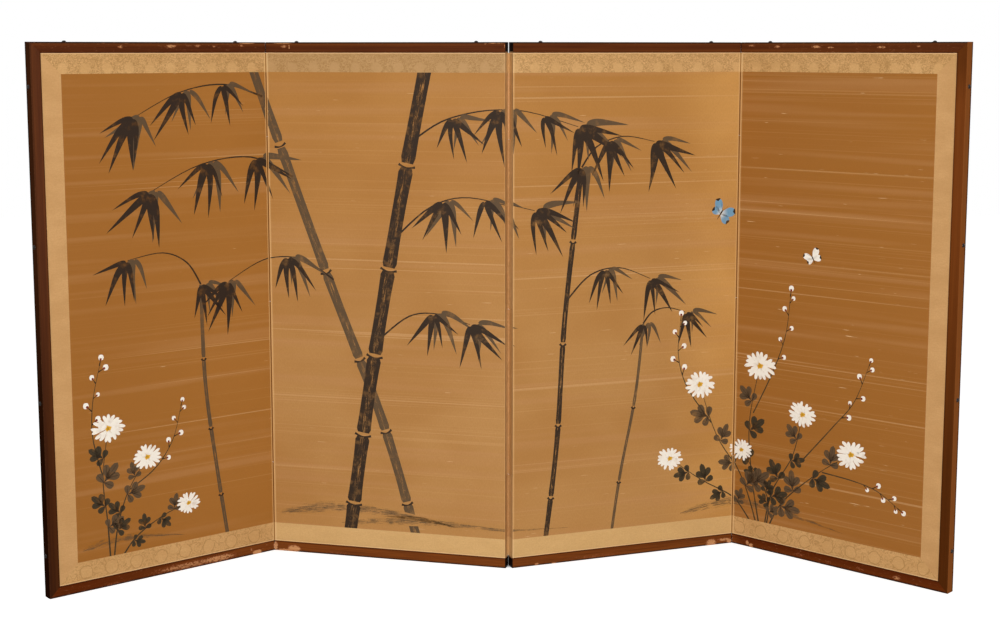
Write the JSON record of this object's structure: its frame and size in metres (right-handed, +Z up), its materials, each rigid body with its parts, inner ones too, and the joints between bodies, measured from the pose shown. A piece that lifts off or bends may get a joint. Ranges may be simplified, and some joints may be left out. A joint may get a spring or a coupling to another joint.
{
  "type": "folding screen",
  "caption": "Low four-panel folding screen in a standing zigzag: papered lattice boards with painted silk and brocade borders in lacquered battens, joined by alternating paper hinges.",
  "frame": {"origin": "middle of the box round the standing screen's footprint, on the floor under the bottom rails", "axes": "+Z up, +X along the row of boards towards the viewer's right, -Y towards the viewer on the painted side"},
  "size_m": [1.516, 0.3149, 0.9163],
  "materials": {
    "lacquer": "dark red-brown lacquer, rubbed through along the arrises",
    "iron": "blackened forged iron, satin",
    "silk": "gold-brown aged silk with fine slubs, painted",
    "brocade": "cream-gold figured silk",
    "back_paper": "muted patterned mulberry paper",
    "hinge_paper": "layered mulberry paper, toned like the silk",
    "lining_paper": "pasted layers of mulberry paper",
    "cedar": "bare straight-grained cedar"
  },
  "bodies": {
    "panel_1": {"panel_1_core_stiles": "cedar", "panel_1_core_rails": "cedar", "panel_1_lattice_uprights": "cedar", "panel_1_lattice_crossbars": "cedar", "panel_1_front_lining": "lining_paper", "panel_1_back_lining": "lining_paper", "panel_1_painting_silk": "silk", "panel_1_brocade_bands": "brocade", "panel_1_back_paper": "back_paper", "panel_1_top_rail": "lacquer", "panel_1_bottom_rail": "lacquer", "panel_1_frame_studs": "iron", "panel_1_end_stile": "lacquer", "panel_1_side_brocade": "brocade", "panel_1_right_hinge_papers": "hinge_paper"},
    "panel_2": {"panel_2_core_stiles": "cedar", "panel_2_core_rails": "cedar", "panel_2_lattice_uprights": "cedar", "panel_2_lattice_crossbars": "cedar", "panel_2_front_lining": "lining_paper", "panel_2_back_lining": "lining_paper", "panel_2_painting_silk": "silk", "panel_2_brocade_bands": "brocade", "panel_2_back_paper": "back_paper", "panel_2_top_rail": "lacquer", "panel_2_bottom_rail": "lacquer", "panel_2_frame_studs": "iron", "panel_2_left_hinge_papers": "hinge_paper", "panel_2_right_hinge_papers": "hinge_paper"},
    "panel_3": {"panel_3_core_stiles": "cedar", "panel_3_core_rails": "cedar", "panel_3_lattice_uprights": "cedar", "panel_3_lattice_crossbars": "cedar", "panel_3_front_lining": "lining_paper", "panel_3_back_lining": "lining_paper", "panel_3_painting_silk": "silk", "panel_3_brocade_bands": "brocade", "panel_3_back_paper": "back_paper", "panel_3_top_rail": "lacquer", "panel_3_bottom_rail": "lacquer", "panel_3_frame_studs": "iron", "panel_3_left_hinge_papers": "hinge_paper", "panel_3_right_hinge_papers": "hinge_paper"},
    "panel_4": {"panel_4_core_stiles": "cedar", "panel_4_core_rails": "cedar", "panel_4_lattice_uprights": "cedar", "panel_4_lattice_crossbars": "cedar", "panel_4_front_lining": "lining_paper", "panel_4_back_lining": "lining_paper", "panel_4_painting_silk": "silk", "panel_4_brocade_bands": "brocade", "panel_4_back_paper": "back_paper", "panel_4_top_rail": "lacquer", "panel_4_bottom_rail": "lacquer", "panel_4_frame_studs": "iron", "panel_4_left_hinge_papers": "hinge_paper", "panel_4_end_stile": "lacquer", "panel_4_side_brocade": "brocade"}
  },
  "joints": [
    {"name": "fold_1", "type": "hinge", "parent": "panel_2", "child": "panel_1", "pos_m": [-0.40798, 0.10621, 0], "axis": [0, 0, 1], "range_deg": [-53, 127]},
    {"name": "fold_2", "type": "hinge", "parent": "panel_2", "child": "panel_3", "pos_m": [0.01455, 0.01401, 0], "axis": [0, 0, 1], "range_deg": [-34.5, 145.5]},
    {"name": "fold_3", "type": "hinge", "parent": "panel_3", "child": "panel_4", "pos_m": [0.42855, 0.13908, 0], "axis": [0, 0, -1], "range_deg": [-62, 118]}
  ]
}
